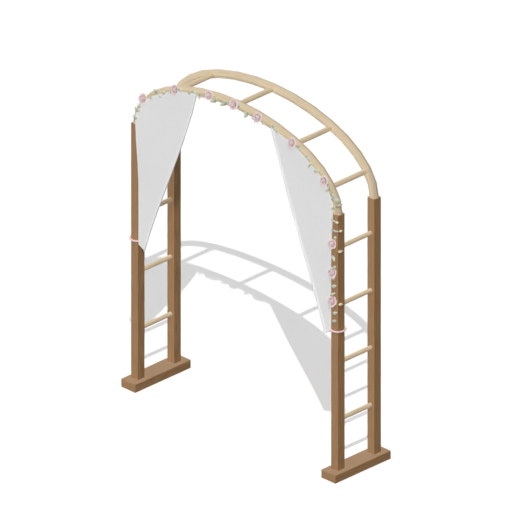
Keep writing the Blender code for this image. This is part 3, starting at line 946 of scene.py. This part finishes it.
@dataclass
class Drape:
    """A flat drape hung on the front of the hoop, which narrows down to the tie ring.

    Attributes:
        side, sign: left and -1, or right and 1.
        inner_top, outer_top: where the free and outer edges meet the hoop, across the arch.
        free_edge: the rest of the free edge as places across and up.
        outer_edge: the outer edge as places across and up, from the bottom.
        ride: how far it is held forward where it passes in front of the post's head.
        tuck: how far it falls back where neither the hoop nor the post holds it.
        under: how far under the hoop's line it starts and ends to fall back.
        beside: how far across the arch the post's head starts and ends to hold it.
        below, above: how high the head's hold starts and ends, from below and from above.
        cloth: the thickness drawn for one layer.
        hem, casing: the width of the turned hems and of the turned casing at the top.
        cord_width, cord_depth: the width and depth of the cord in the free edge.
        squareness: the power that makes the cord's circle fuller.
        folds, slope: the number of soft folds and half their steepest slope.
        wander: how far the folds stray sideways, as a share of the width.
        calm: over which shares of the length at the top and bottom, and over what width at the
            sides, the folds die away.
        bow: how far the middle bellies forward.
        rows, columns: the number of points down the drape and across between the hems.
    """

    side: str
    sign: int
    inner_top: float = 0.376
    outer_top: float = 1.009
    free_edge: tuple[tuple[float, float], ...] = ((0.4745, 2.300), (0.6415, 1.860),
                                                  (0.8053, 1.450), (0.915, 1.134))
    outer_edge: tuple[tuple[float, float], ...] = ((0.983, 1.168), (0.983, 1.820),
                                                   (1.000, 2.010))
    ride: float = 0.0033
    tuck: float = 0.005
    under: tuple[float, float] = (0.04, 0.16)
    beside: tuple[float, float] = (0.80, 0.92)
    below: tuple[float, float] = (1.62, 1.84)
    above: tuple[float, float] = (2.40, 2.18)
    cloth: float = 0.0012
    hem: float = 0.022
    casing: float = 0.025
    cord_width: float = 0.010
    cord_depth: float = 0.012
    squareness: float = 2.6
    folds: int = 5
    slope: float = 0.015
    wander: float = 0.05
    calm: tuple[float, float, float] = (0.2, 0.1, 0.06)
    bow: float = 0.003
    rows: int = 150
    columns: int = 70

    def __post_init__(self) -> None:
        """Set out the drape between its four edges.

        The point at (u, v) is the blend of the free and outer edges by u, plus the blend of the
        top and bottom edges by v, less the blend of the four corners. The free edge is one
        polynomial through its stops, and the outer edge straight lines. The columns near a side
        keep their distance from it in millimetres, so the hems keep their width.
        """
        down = np.linspace(0.0, 1.0, self.rows) ** 1.1
        top_in, top_out = (np.array([x, ARCH.hoop_height(x)])
                           for x in (self.inner_top, self.outer_top))
        free = np.vstack([top_in, self.free_edge])
        outer = np.vstack([top_out, self.outer_edge[::-1]])
        free_keys, outer_keys = (travelled(line) / travelled(line)[-1] for line in (free, outer))
        free = joined(*(np.polyval(part, down) for part in np.polyfit(free_keys, free, 4).T))
        outer = between(down, outer_keys, outer)
        width = np.linalg.norm(outer - free, axis=1)[:, None]
        cord = self.cord_width * np.array([0.0, 0.03, 0.12, 0.3, 0.5, 0.7, 0.88, 0.97, 1.0, 1.04])
        turned = self.hem * np.array([1.04, 1.0, 0.5, 0.04, 0.0])
        first = 1.4 * self.cord_width
        inside = first + np.linspace(0.0, 1.0, self.columns) * (width - first - 1.2 * self.hem)
        self.across = np.hstack([np.tile(cord, (self.rows, 1)), inside, width - turned])
        share = (self.across / width)[..., None]
        place = blend(self.inner_top, self.outer_top, share[..., 0])
        top = joined(place, ARCH.hoop_height(place))
        bottom = blend(np.array(self.free_edge[-1]), np.array(self.outer_edge[0]), share)
        fall = down[:, None, None]
        corners = blend(blend(top_in, top_out, share), bottom, fall)
        sides = blend(free[:, None], outer[:, None], share)
        self.grid = sides + blend(top, bottom, fall) - corners
        self.edge = np.minimum(self.across, width - self.across)
        self.drop = travelled(self.grid)

    def build(self) -> list[Piece]:
        """Close the drape from its two faces, with the pattern that its finish reads.

        Returns:
            The drape.
        """
        front, back = self.faces()
        grid, x, level = self.grid, self.grid[..., 0], self.grid[..., 1]
        pattern = joined(x, level[0].max() - level, np.minimum(self.edge, self.to_ends()))
        piece = place_piece(f"hung_drape_{self.side}", [two_faced(front, back, pattern)],
                            WHITE_VOILE, f"{self.side}_drape", crease=60.0)
        return [piece]

    def to_ends(self) -> Array:
        """Give each point's distance from the nearer of the top and bottom edges."""
        return np.minimum(self.drop, self.drop[-1] - self.drop)

    def faces(self) -> list[Array]:
        """Give the drape its place from front to back.

        The back face touches the hoop, falls back under it, and comes forward near the outer
        edge to pass the post's head, under which that edge hangs just inside the post. The folds
        are one less a cosine across the width, and die away at the edges. The free edge is
        rolled round a cord whose section is a flattened circle.

        Returns:
            The points of the front face and of the back face.
        """
        x, level = self.grid[..., 0], self.grid[..., 1]
        near, far = (ARCH.hoop_height(x) - part for part in self.under)
        held = ease(x, *self.beside) * ease(level, *self.below)
        width = self.across[:, -1:]
        share = self.across / width
        down = np.linspace(0.0, 1.0, self.rows)[:, None]
        top, bottom, sides = self.calm
        calm = ease(down, 0.0, top) * ease(1 - down, 0.0, bottom) * ease(self.edge, 0.0, sides)
        height = self.slope * width / (self.folds * math.pi)
        strayed = share + self.wander * np.sin(TURN * down + 4.0 * share)
        hung = (-ARCH.half_depth - ARCH.hoop_radius - ARCH.clearance
                + self.tuck * ease(level, near, far) * (1 - held)
                - self.ride * held * ease(level, *self.above)
                - height * (1 - np.cos(TURN * self.folds * strayed)) * calm
                - self.bow * np.sin(math.pi * share) * np.sin(math.pi * down))

        radius = self.cord_depth / 2
        off = np.clip(np.abs(self.across / (self.cord_width / 2) - 1), 0.0, 1.0)
        half = radius * (1 - off ** self.squareness) ** (1 / self.squareness)
        doubled = ((self.across > width - 1.001 * self.hem) | (self.to_ends() < self.hem)
                   | (self.drop < self.casing))
        ahead = np.where(self.across <= self.cord_width * 1.001, radius + half,
                         self.cloth * (1 + doubled))
        behind = np.where(self.across < self.cord_width / 2, radius - half, 0.0)
        return [joined(self.sign * x, hung - offset, level) for offset in (ahead, behind)]


@dataclass
class Sprig:
    """Where a leaf or a bud lies on the garland, in metres and degrees.

    Attributes:
        number: its number, which seeds its own differences.
        base, around: its base's distances along the garland and outwards.
        heading: the way that it points; 0 is along the garland and 90 is outwards.
        long, wide: its length, and a leaf's width.
    """

    number: int
    base: float
    around: float
    heading: float
    long: float
    wide: float = 0.0

    def at(self, forward: Array, aside: Array | float = 0.0) -> tuple[Array, Array]:
        """Give the distances along the garland and outwards of places forward and aside of it."""
        cos, sin = math.cos(math.radians(self.heading)), math.sin(math.radians(self.heading))
        return self.base + forward * cos - aside * sin, self.around + forward * sin + aside * cos


@dataclass
class Garland:
    """Silk roses, leaves and buds on a taped wire, over the front hoop and down the right post.

    A place on the garland is a distance along it from the hoop's left foot and a distance around
    it from the middle of its front, which grows outwards.

    Attributes:
        hoop_sway, post_sway: how far the wire sways between two roses of the hoop or post.
        hoop_offset, post_offset: how far outwards the wire is at the roses of the hoop or post.
        end_offset, tail: how far outwards its ends are, and how far it takes to go there.
        start, end: where the wire starts and ends.
        splices: how far before the crown and before the hoop's right foot two lengths meet.
        wire, step: the radius of the taped wire and the distance between two of its points.
        tape: the width of a lap of its tape, and how far it stands over the next.
        gap: the gap between two lengths of the garland.
        crossing: how far before the post it starts to go over to the post's flat face.
        reach: how far the leaves are from the hoop's or post's middle.
        corner: the radius at which they turn round the post's corner.
        roses: the number of roses.
        stalk, stem: how far a stalk starts before its leaf's base, and its radius.
        cup: what a stalk widens to under a bud.
        silk: the thickness of a leaf.
        bends: the least and the most of a leaf's fold, twist and arch.
        plump: the radius of a bud.
        leaves: base distance, base around, heading, length and width of each leaf, in
            millimetres and degrees.
        buds: base distance, base around, heading and length of each bud.
    """

    hoop_sway: float = -0.010
    post_sway: float = 0.018
    hoop_offset: float = 0.014
    post_offset: float = -0.008
    end_offset: float = 0.006
    tail: float = 0.120
    start: float = 0.018
    end: float = 3.356
    splices: tuple[float, float] = (0.120, 0.008)
    wire: float = 0.003
    step: float = 0.005
    tape: tuple[float, float] = (0.012, 0.0002)
    gap: float = 0.0008
    crossing: float = 0.06
    reach: float = 0.044
    corner: float = 0.015
    roses: int = 10
    stalk: float = 0.018
    stem: float = 0.0011
    cup: float = 0.006
    silk: float = 0.0006
    bends: tuple[tuple[float, ...], ...] = ((0.45, -0.25, 0.06), (0.75, 0.25, 0.12))
    plump: float = 0.0095
    leaves: tuple[tuple[float, ...], ...] = (
        (50, -4, 42, 30, 20), (50, -4, -26, 42, 22), (124, 0, 75, 38, 22), (124, 0, -22, 52, 24),
        (172, -2, 76, 30, 22), (172, -2, 6, 38, 22), (336, -6, 0, 36, 20), (430, 10, 136, 50, 24),
        (442, -18, -16, 34, 14), (488, -5, 19, 42, 24), (584, -2, 166, 26, 20),
        (666, 18, -15, 46, 20), (772, -4, 25, 26, 18), (810, 16, 0, 54, 16),
        (888, 6, -103, 38, 24), (1062, -11, -167, 66, 22), (1062, -11, 72, 32, 18),
        (1170, 5, -155, 75, 22), (1170, 5, 163, 34, 18), (1286, 14, 114, 35, 22),
        (1384, 7, -124, 57, 24), (1384, 7, -153, 42, 20), (1452, -16, 171, 26, 18),
        (1452, -16, -75, 24, 18), (1520, 10, -51, 35, 20), (1626, 21, -8, 42, 22),
        (1678, 5, -9, 32, 20), (1888, 29, -3, 40, 28), (1988, 15, 21, 39, 18),
        (2052, -16, 87, 39, 22), (2052, -16, -90, 24, 18), (2110, -16, 64, 51, 22),
        (2244, 25, 27, 25, 18), (2278, 32, -86, 55, 22), (2312, 16, 42, 40, 22),
        (2350, 8, 64, 74, 24), (2410, 30, 98, 55, 14), (2416, 20, -77, 37, 16),
        (2514, -26, 89, 60, 14), (2596, -23, 96, 78, 14), (2662, 1, 128, 39, 22),
        (2764, 56, 102, 29, 18), (2806, -24, 47, 52, 34), (2908, -9, 130, 53, 22),
        (3000, -18, 132, 45, 22), (3062, -22, 122, 65, 22), (3134, -35, 126, 79, 16),
        (3192, 48, 90, 37, 18), (3276, -6, 128, 56, 22), (3342, -16, 123, 58, 22),
    )
    buds: tuple[tuple[float, ...], ...] = (
        (2518, 27, 92, 20), (2592, 48, 95, 26), (2754, 42, 80, 26), (3182, 45, 85, 30),
    )

    def __post_init__(self) -> None:
        """Measure the hoop and find where each rose stands along the garland."""
        self.turns = np.linspace(0.0, math.pi, 401)
        line = ARCH.ellipse(self.turns)
        self.places = travelled(line)
        self.hoop_length = float(self.places[-1])
        crown, foot = self.splices
        self.joins = (self.start, self.hoop_length / 2 - crown, self.hoop_length - foot, self.end)
        middles = np.array([np.mean(corners_of(f"rose_{number}"), axis=0)
                            for number in range(1, self.roses + 1)])
        away = np.linalg.norm(middles[:, None, [0, 2]] - line[:, [0, 2]], axis=-1)
        hanging = middles[:, 2] < ARCH.post_top
        self.stations = np.where(hanging, self.hoop_length + ARCH.post_top - middles[:, 2],
                                 self.places[away.argmin(axis=1)])
        self.offsets = np.where(hanging, self.post_offset, self.hoop_offset)
        scale = np.array([MM, MM, 1.0, MM, MM])
        self.leaf_sprigs, self.bud_sprigs = (
            [Sprig(number, *(row * scale[:len(row)])) for number, row in enumerate(rows)]
            for rows in (self.leaves, self.buds))

    def build(self) -> list[Piece]:
        """Lay the wire, then fasten the leaves, buds and roses to it.

        Returns:
            The pieces.
        """
        pieces = []
        for name, start, end in zip(("left", "right", "post"), self.joins, self.joins[1:]):
            pieces += self.length(name, start, end)
        pieces.append(self.rolled_buds())
        for number in range(1, self.roses + 1):
            pieces += Rose(number).build()
        return pieces

    def route(self, distance: Array) -> tuple[Array, Array]:
        """Follow the hoop's centre line and then the post's, down from its top.

        Args:
            distance: distances along the garland.

        Returns:
            The points of the line and the unit vectors that point outwards from it.
        """
        turn = np.interp(distance, self.places, self.turns)
        drop = np.maximum(distance - self.hoop_length, 0.0)[..., None]
        centre = ARCH.hoop_line(turn) + ARCH.half_depth * FRONT - drop * UP
        outward = unit(joined(-np.cos(turn) * ARCH.hoop_rise, 0.0, np.sin(turn) * ARCH.half_span))
        return centre, outward

    def wire_line(self, distance: Array) -> Array:
        """Lay the wire on the front of the hoop and post.

        Its offset outwards eases from one rose's to the next one's, with a sway of sine squared
        between them. It keeps to the hoop's skin, and crosses over to the post's flat face.

        Args:
            distance: distances along the garland.

        Returns:
            Points of the wire's centre line.
        """
        before = np.clip(np.searchsorted(self.stations, distance) - 1, 0, self.roses - 2)
        near, far = self.stations[before], self.stations[before + 1]
        share = np.clip((distance - near) / (far - near), 0.0, 1.0)
        sway = np.where(self.offsets[before + 1] > 0, self.hoop_sway, self.post_sway)
        midway = (blend(self.offsets[before], self.offsets[before + 1], ease(share))
                  + sway * np.sin(math.pi * share) ** 2)
        first = blend(self.end_offset, self.offsets[0], (distance / self.stations[0]) ** 2)
        past = np.minimum((distance - self.stations[-1]) / self.tail, 1.0)
        last = blend(self.offsets[-1], self.end_offset, past)
        offset = np.select([distance < self.stations[0], distance > self.stations[-1]],
                           [first, last], midway)
        centre, outward = self.route(distance)
        clear = self.wire + ARCH.clearance
        over = np.clip((distance - self.hoop_length + self.crossing) / 0.05, 0.0, 1.0)
        ahead = blend(ARCH.hoop_face(offset, clear), ARCH.post_side / 2 + clear, over)
        return centre + outward * offset[..., None] + FRONT * ahead[..., None]

    def place(self, distance: Array, around: Array, lift: Array | float) -> Array:
        """Find places on the garland's rounded front, a little clear of the timber.

        Round the hoop, what lies outwards bends back in a circle. On the post it goes straight
        to the corner, round that in a quarter circle, and back along the outer side.

        Args:
            distance: distances along the garland.
            around: distances outwards from the middle of its front.
            lift: heights over it.

        Returns:
            The points.
        """
        centre, outward = self.route(distance)
        around, high = around[..., None], self.reach + np.asarray(lift)[..., None]
        fronts = []
        for corner, most in ((self.reach, math.inf), (self.corner, math.pi / 2)):
            flat = self.reach - corner
            angle = np.clip((around - flat) / corner, 0.0, most)
            facing = FRONT * np.cos(angle) + outward * np.sin(angle)
            beyond = np.maximum(around - flat - corner * most, 0.0)
            fronts.append(centre + outward * np.minimum(around, flat)
                          + FRONT * (flat - beyond) + facing * (high - flat))
        share = ease(distance, self.hoop_length - self.crossing, self.hoop_length)
        return blend(*fronts, share[..., None])

    def length(self, name: str, start: float, end: float) -> list[Piece]:
        """Make one length of the garland: its wire with the stalks, and its leaves.

        Args:
            name: left, right or post.
            start: where it starts along the garland.
            end: where it ends.

        Returns:
            The wire and the leaves.
        """
        stops = np.linspace(start, end - self.gap, round((end - start) / self.step))
        lap, thick = self.tape
        taped = self.wire - thick * ((stops[:, None] / lap + np.arange(10) / 10) % 1.0)
        leaves, buds = ([sprig for sprig in sprigs if start < sprig.base < end]
                        for sprigs in (self.leaf_sprigs, self.bud_sprigs))
        wires = [carried_circle(self.wire_line(stops), FRONT, taped, 10)]
        wires += [self.stalk_to(leaf) for leaf in leaves]
        wires += [self.stalk_to(bud, self.cup) for bud in buds]
        return [place_piece(f"taped_vine_{name}", wires,
                            BROWN_TAPE if name == "post" else GREEN_TAPE,
                            f"garland_vine_{name}", crease=60.0),
                place_piece(f"silk_leaves_{name}", [self.leaf(leaf) for leaf in leaves],
                            SAGE_SILK, crease=70.0)]

    def stalk_to(self, sprig: Sprig, cup: float = 0.0) -> Skin:
        """Bend a thin stalk from the wire to the base of a leaf or bud.

        It follows a curve whose bend is lifted, and its radius is the stem's plus cup t^8.

        Args:
            sprig: the leaf or bud.
            cup: what its tip widens to hold a bud.

        Returns:
            The stalk.
        """
        share = np.linspace(0.0, 1.0, 7)[:, None]
        root, _ = sprig.at(np.array([-self.stalk]))
        foot = self.wire_line(np.clip(root, self.start, self.end - 0.002)) - FRONT * 0.001
        tip = self.place(*sprig.at(np.zeros(1)), 0.002)
        path = curve(foot, (foot + tip) / 2 + FRONT * 0.005, tip, share)
        radius = self.stem + cup * share ** 8
        return carried_circle(path, np.array([0.31, -0.2, 0.93]), radius, 6)

    def leaf(self, sprig: Sprig) -> Skin:
        """Shape a starched leaf over the garland.

        At t along it the half width is the width times (4 t^0.8 (1-t))^0.7 / 2. It is folded
        along its middle like a roof, arched along its length, and turned up at its tip.

        Args:
            sprig: where it lies.

        Returns:
            The leaf.
        """
        chance = np.random.default_rng(40 + sprig.number)
        fold, twist, arch = chance.uniform(*self.bends)
        across, along = blade_grid(13, 9)
        held = np.clip(along, 0.004, 0.996)
        aside = across * sprig.wide / 2 * (4 * held ** 0.8 * (1 - held)) ** 0.7
        lift = (0.004 + sprig.long * (arch * np.sin(math.pi * along) + 0.08 * along ** 3)
                - fold * np.abs(aside) + twist * aside)
        middle = self.place(*sprig.at(sprig.long * along, aside), lift)
        return thin_blade(middle, joined(across, along, chance.uniform()), self.silk)

    def rolled_buds(self) -> Piece:
        """Roll the buds: a furrowed circle whose radius is a sine of the share of the length.

        Three furrows turn once along the bud, as the edges of its rolled petals do.

        Returns:
            The buds.
        """
        share = np.linspace(0.0, 1.0, 15)
        furrow = 1 + 0.09 * np.sin(3 * turns_of(18) + TURN * share[:, None])
        swell = np.sin(math.pi * np.clip(share, 0.02, 0.985) ** 0.75)[:, None]
        skins = []
        for bud in self.bud_sprigs:
            path = self.place(*bud.at(share * bud.long), 0.004 + 0.3 * bud.long * share)
            skins.append(carried_circle(path, UP + 0.2 * FRONT, self.plump * swell * furrow, 18))
        return place_piece("rolled_silk_buds", skins, CREAM_SILK, crease=60.0)


@dataclass
class Rose:
    """A full silk rose that faces the front and a little up, with five sepals behind it.

    Attributes:
        number: its number along the garland.
        layers: for each round of petals from the heart outwards, the number of petals, the
            radius and height of their lips and then of their bellies as shares of the rose's,
            half a petal's width in degrees, and how far its lip rolls back.
        tuck: how far a petal's one side goes under its neighbour.
        widest: how far out its petals may reach, as a share of its radius.
        silk: the thickness of a petal.
        sag, tilt: how far it hangs under its solid's middle, and looks up in degrees.
        sepals: the number of sepals.
    """

    number: int
    layers: tuple[tuple[float, ...], ...] = (
        (3, 0.09, 0.98, 0.36, 0.60, 110, 0.00), (3, 0.22, 1.00, 0.50, 0.60, 80, 0.02),
        (4, 0.42, 0.95, 0.70, 0.56, 54, 0.04), (5, 0.64, 0.84, 0.86, 0.46, 42, 0.05),
        (5, 0.86, 0.60, 0.92, 0.22, 40, 0.10), (5, 0.98, 0.34, 0.88, 0.04, 38, 0.08),
    )
    tuck: float = 0.05
    widest: float = 1.08
    silk: float = 0.0005
    sag: float = 0.008
    tilt: float = 18.0
    sepals: int = 5

    def build(self) -> list[Piece]:
        """Fold the petals and cut the sepals.

        Returns:
            The rose and its sepals.
        """
        low, high = corners_of(f"rose_{self.number}")
        chance = np.random.default_rng(self.number)
        radius, height = (high[0] - low[0]) / 2 * chance.uniform(0.90, 1.0), high[1] - low[1]
        cos, sin = math.cos(math.radians(self.tilt)), math.sin(math.radians(self.tilt))
        x, _, z = (low + high) / 2
        self.foot = np.array([x, high[1], z - self.sag])
        self.axes = np.array([[radius, 0.0, 0.0], [0.0, radius * sin, radius * cos],
                              [0.0, -height * cos, height * sin]])
        petals = []
        for level, layer in enumerate(self.layers):
            own = level / (len(self.layers) - 1)
            count = int(layer[0])
            for petal in range(count):
                middle = (level * 1.9 + self.number * 0.8 + TURN * petal / count
                          + chance.normal(0.0, 0.06))
                petals.append(self.petal(middle, layer, own, chance))
        sepals = [self.sepal(turn + self.number) for turn in turns_of(self.sepals)]
        return [place_piece(f"silk_rose_{self.number}", petals, PINK_SILK,
                            f"rose_{self.number}", crease=80.0),
                place_piece(f"rose_sepals_{self.number}", sepals, SAGE_SILK,
                            crease=80.0)]

    def stand(self, angle: Array, radius: Array, height: Array) -> Array:
        """Find places from an angle round the rose and from shares of its radius and height."""
        shares = joined(radius * np.cos(angle), radius * np.sin(angle), height)
        return self.foot + shares @ self.axes

    def petal(self, middle: float, layer: tuple[float, ...], own: float,
              chance: np.random.Generator) -> Skin:
        """Fold one petal.

        Its section from base to lip is a curve that its belly bends, and t falls off towards
        the petal's sides, so the lip is round. The lip rolls outwards and down from t = 0.72 on.

        Args:
            middle: the angle at which it stands.
            layer: its row of layers.
            own: its share of the way from the heart to the outside.
            chance: the source of its own differences.

        Returns:
            The petal.
        """
        _, lip, lip_height, belly, belly_height, half, roll = layer
        across, along = blade_grid(12, 15)
        edge = lip * (1 + chance.normal(0.0, 0.02))
        rise = lip_height * (1 - abs(chance.normal(0.0, 0.025)))
        share = along * (1 - (0.15 + 0.3 * own) * np.abs(across) ** 2.5)
        curl = ease(share, 0.72)
        rolled = roll * curl * (1 + 0.25 * np.sin(3 * across + chance.uniform(0.0, TURN)))
        reach = (curve(0.06 + 0.10 * edge, belly, edge, share) + rolled
                 + self.tuck * across * (0.4 + 0.6 * along))
        height = (curve(0.0, belly_height, rise, share) + 0.03 * (1 - share)
                  - 0.45 * curl * rolled - 0.05 * across * along * rise)
        points = self.stand(middle + math.radians(half) * across,
                            np.clip(reach, 0.03, self.widest), np.minimum(height, 0.99))
        return thin_blade(points, joined(across, along, own), self.silk)

    def sepal(self, turn: float) -> Skin:
        """Cut one sepal, a narrow blade that lies close under the outer petals.

        Args:
            turn: the angle at which it stands.

        Returns:
            The sepal.
        """
        across, along = blade_grid(9, 7)
        held = np.clip(along, 0.01, 0.985)
        half = 0.17 * (4 * held ** 0.7 * (1 - held)) ** 0.7
        reach = 0.08 + 0.70 * along
        points = self.stand(turn + across * half / reach, reach, 0.025 + 0.10 * along ** 2)
        return thin_blade(points, joined(across, along, 0.5), self.silk)


@dataclass
class Studio:
    """A plain pale floor, soft light and the camera, at the photograph's angle.

    The key light casts the one crisp shadow. The fill and the one opposite it are each half a
    sky wide and cast none: a face whose normal has the cosine c to one gets (1 + c) / 2 of it.

    Attributes:
        aim: the point at the middle of the picture.
        view: where the camera stands, in degrees round from the front to the right, and up.
        width, distance: the width of the picture, and the camera's distance from the aim.
        lights: each light's name, its place round and up, what it gives a surface that faces
            it, and the angle that it takes up in degrees.
        glow: the brightness of the surroundings.
        floor_radius, floor_depth: the floor's radius and thickness.
    """

    aim: tuple[float, float, float] = (0.0, 0.0, 1.350)
    view: tuple[float, float] = (45.0, 27.0)
    width: float = 3.6914
    distance: float = 9.0
    lights: tuple[tuple[str, float, float, float, float], ...] = (
        ("key", 45.0, 48.65, 1.57, 0.05), ("fill", -45.5, 15.0, 2.57, 180.0),
        ("back_fill", 134.5, -15.0, 0.635, 180.0),
    )
    glow: float = 0.10
    floor_radius: float = 7.0
    floor_depth: float = 0.02

    def build(self) -> None:
        """Put up the floor, the lights, the surroundings and the camera.

        The camera sees parallel lines as parallel, and only a narrow light casts a shadow.
        """
        self.floor()
        for name, turn, climb, strength, wide in self.lights:
            lamp = bpy.data.lights.new(name, "SUN")
            lamp.energy = strength
            lamp.angle = math.radians(wide)
            lamp.use_shadow = wide < 180.0
            lamp.cycles.use_multiple_importance_sampling = wide < 180.0
            self.aimed(name, lamp, (turn, climb))
        self.surroundings()
        data = bpy.data.cameras.new("camera")
        data.type = "ORTHO"
        data.ortho_scale = self.width
        bpy.context.scene.camera = self.aimed("camera", data, self.view)
        bpy.context.scene.view_settings.view_transform = "Standard"

    def aimed(self, name: str, data: bpy.types.ID, angle: tuple[float, float]) -> Piece:
        """Place a lamp or camera at an angle from the aim, looking at it.

        Args:
            name: its name.
            data: the lamp or camera.
            angle: the angle round and up.

        Returns:
            The new object.
        """
        turn, climb = map(math.radians, angle)
        away = Vector((math.sin(turn) * math.cos(climb), -math.cos(turn) * math.cos(climb),
                       math.sin(climb)))
        item = bpy.data.objects.new(name, data)
        bpy.context.scene.collection.objects.link(item)
        item.rotation_euler = away.to_track_quat("Z", "Y").to_euler()
        item.location = Vector(self.aim) + away * self.distance
        return item

    def surroundings(self) -> None:
        """Show plain white behind the floor, and light the scene softly from all round."""
        world = bpy.data.worlds.new("studio")
        bpy.context.scene.world = world
        world.use_nodes = True
        tree = world.node_tree
        strength = add_node(tree, "MapRange", add_node(tree, "LightPath"), 0.0, 1.0,
                            self.glow, 1.0)
        shade = tree.nodes["Background"]
        shade.inputs["Color"].default_value = (1.0, 1.0, 1.0, 1.0)
        tree.links.new(strength, shade.inputs["Strength"])

    def floor(self) -> None:
        """Lay the floor, a flat disc whose rings go from its middle to its rim and back below."""
        reach = np.array([0.1, 0.5, 1.0, 1.0, 0.5])[:, None] * self.floor_radius
        level = np.array([0, 0, 0, -1, -1])[:, None] * self.floor_depth
        points = joined(reach * np.cos(turns_of(96)), reach * np.sin(turns_of(96)), level)
        board = bpy.data.objects.new("floor", mesh_of("floor", [Skin(points, points)], 30.0))
        bpy.context.scene.collection.objects.link(board)
        board.data.materials.append(PALE_BOARD.material())
        board.visible_diffuse = False
        board.visible_glossy = False


def main() -> None:
    """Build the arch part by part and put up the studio."""
    logging.basicConfig(level=logging.INFO, format="%(message)s")
    parts = [SideFrame(side, sign) for side, sign in SIDES]
    parts.append(HoopFrame())
    parts += [TieRing(side) for side, _ in SIDES]
    parts += [Drape(side, sign) for side, sign in SIDES]
    parts.append(Garland())
    for part in parts:
        for piece in part.build():
            LOG.info("%s: %d faces", piece.name, len(piece.data.polygons))
    Studio().build()


if __name__ == "__main__":
    main()
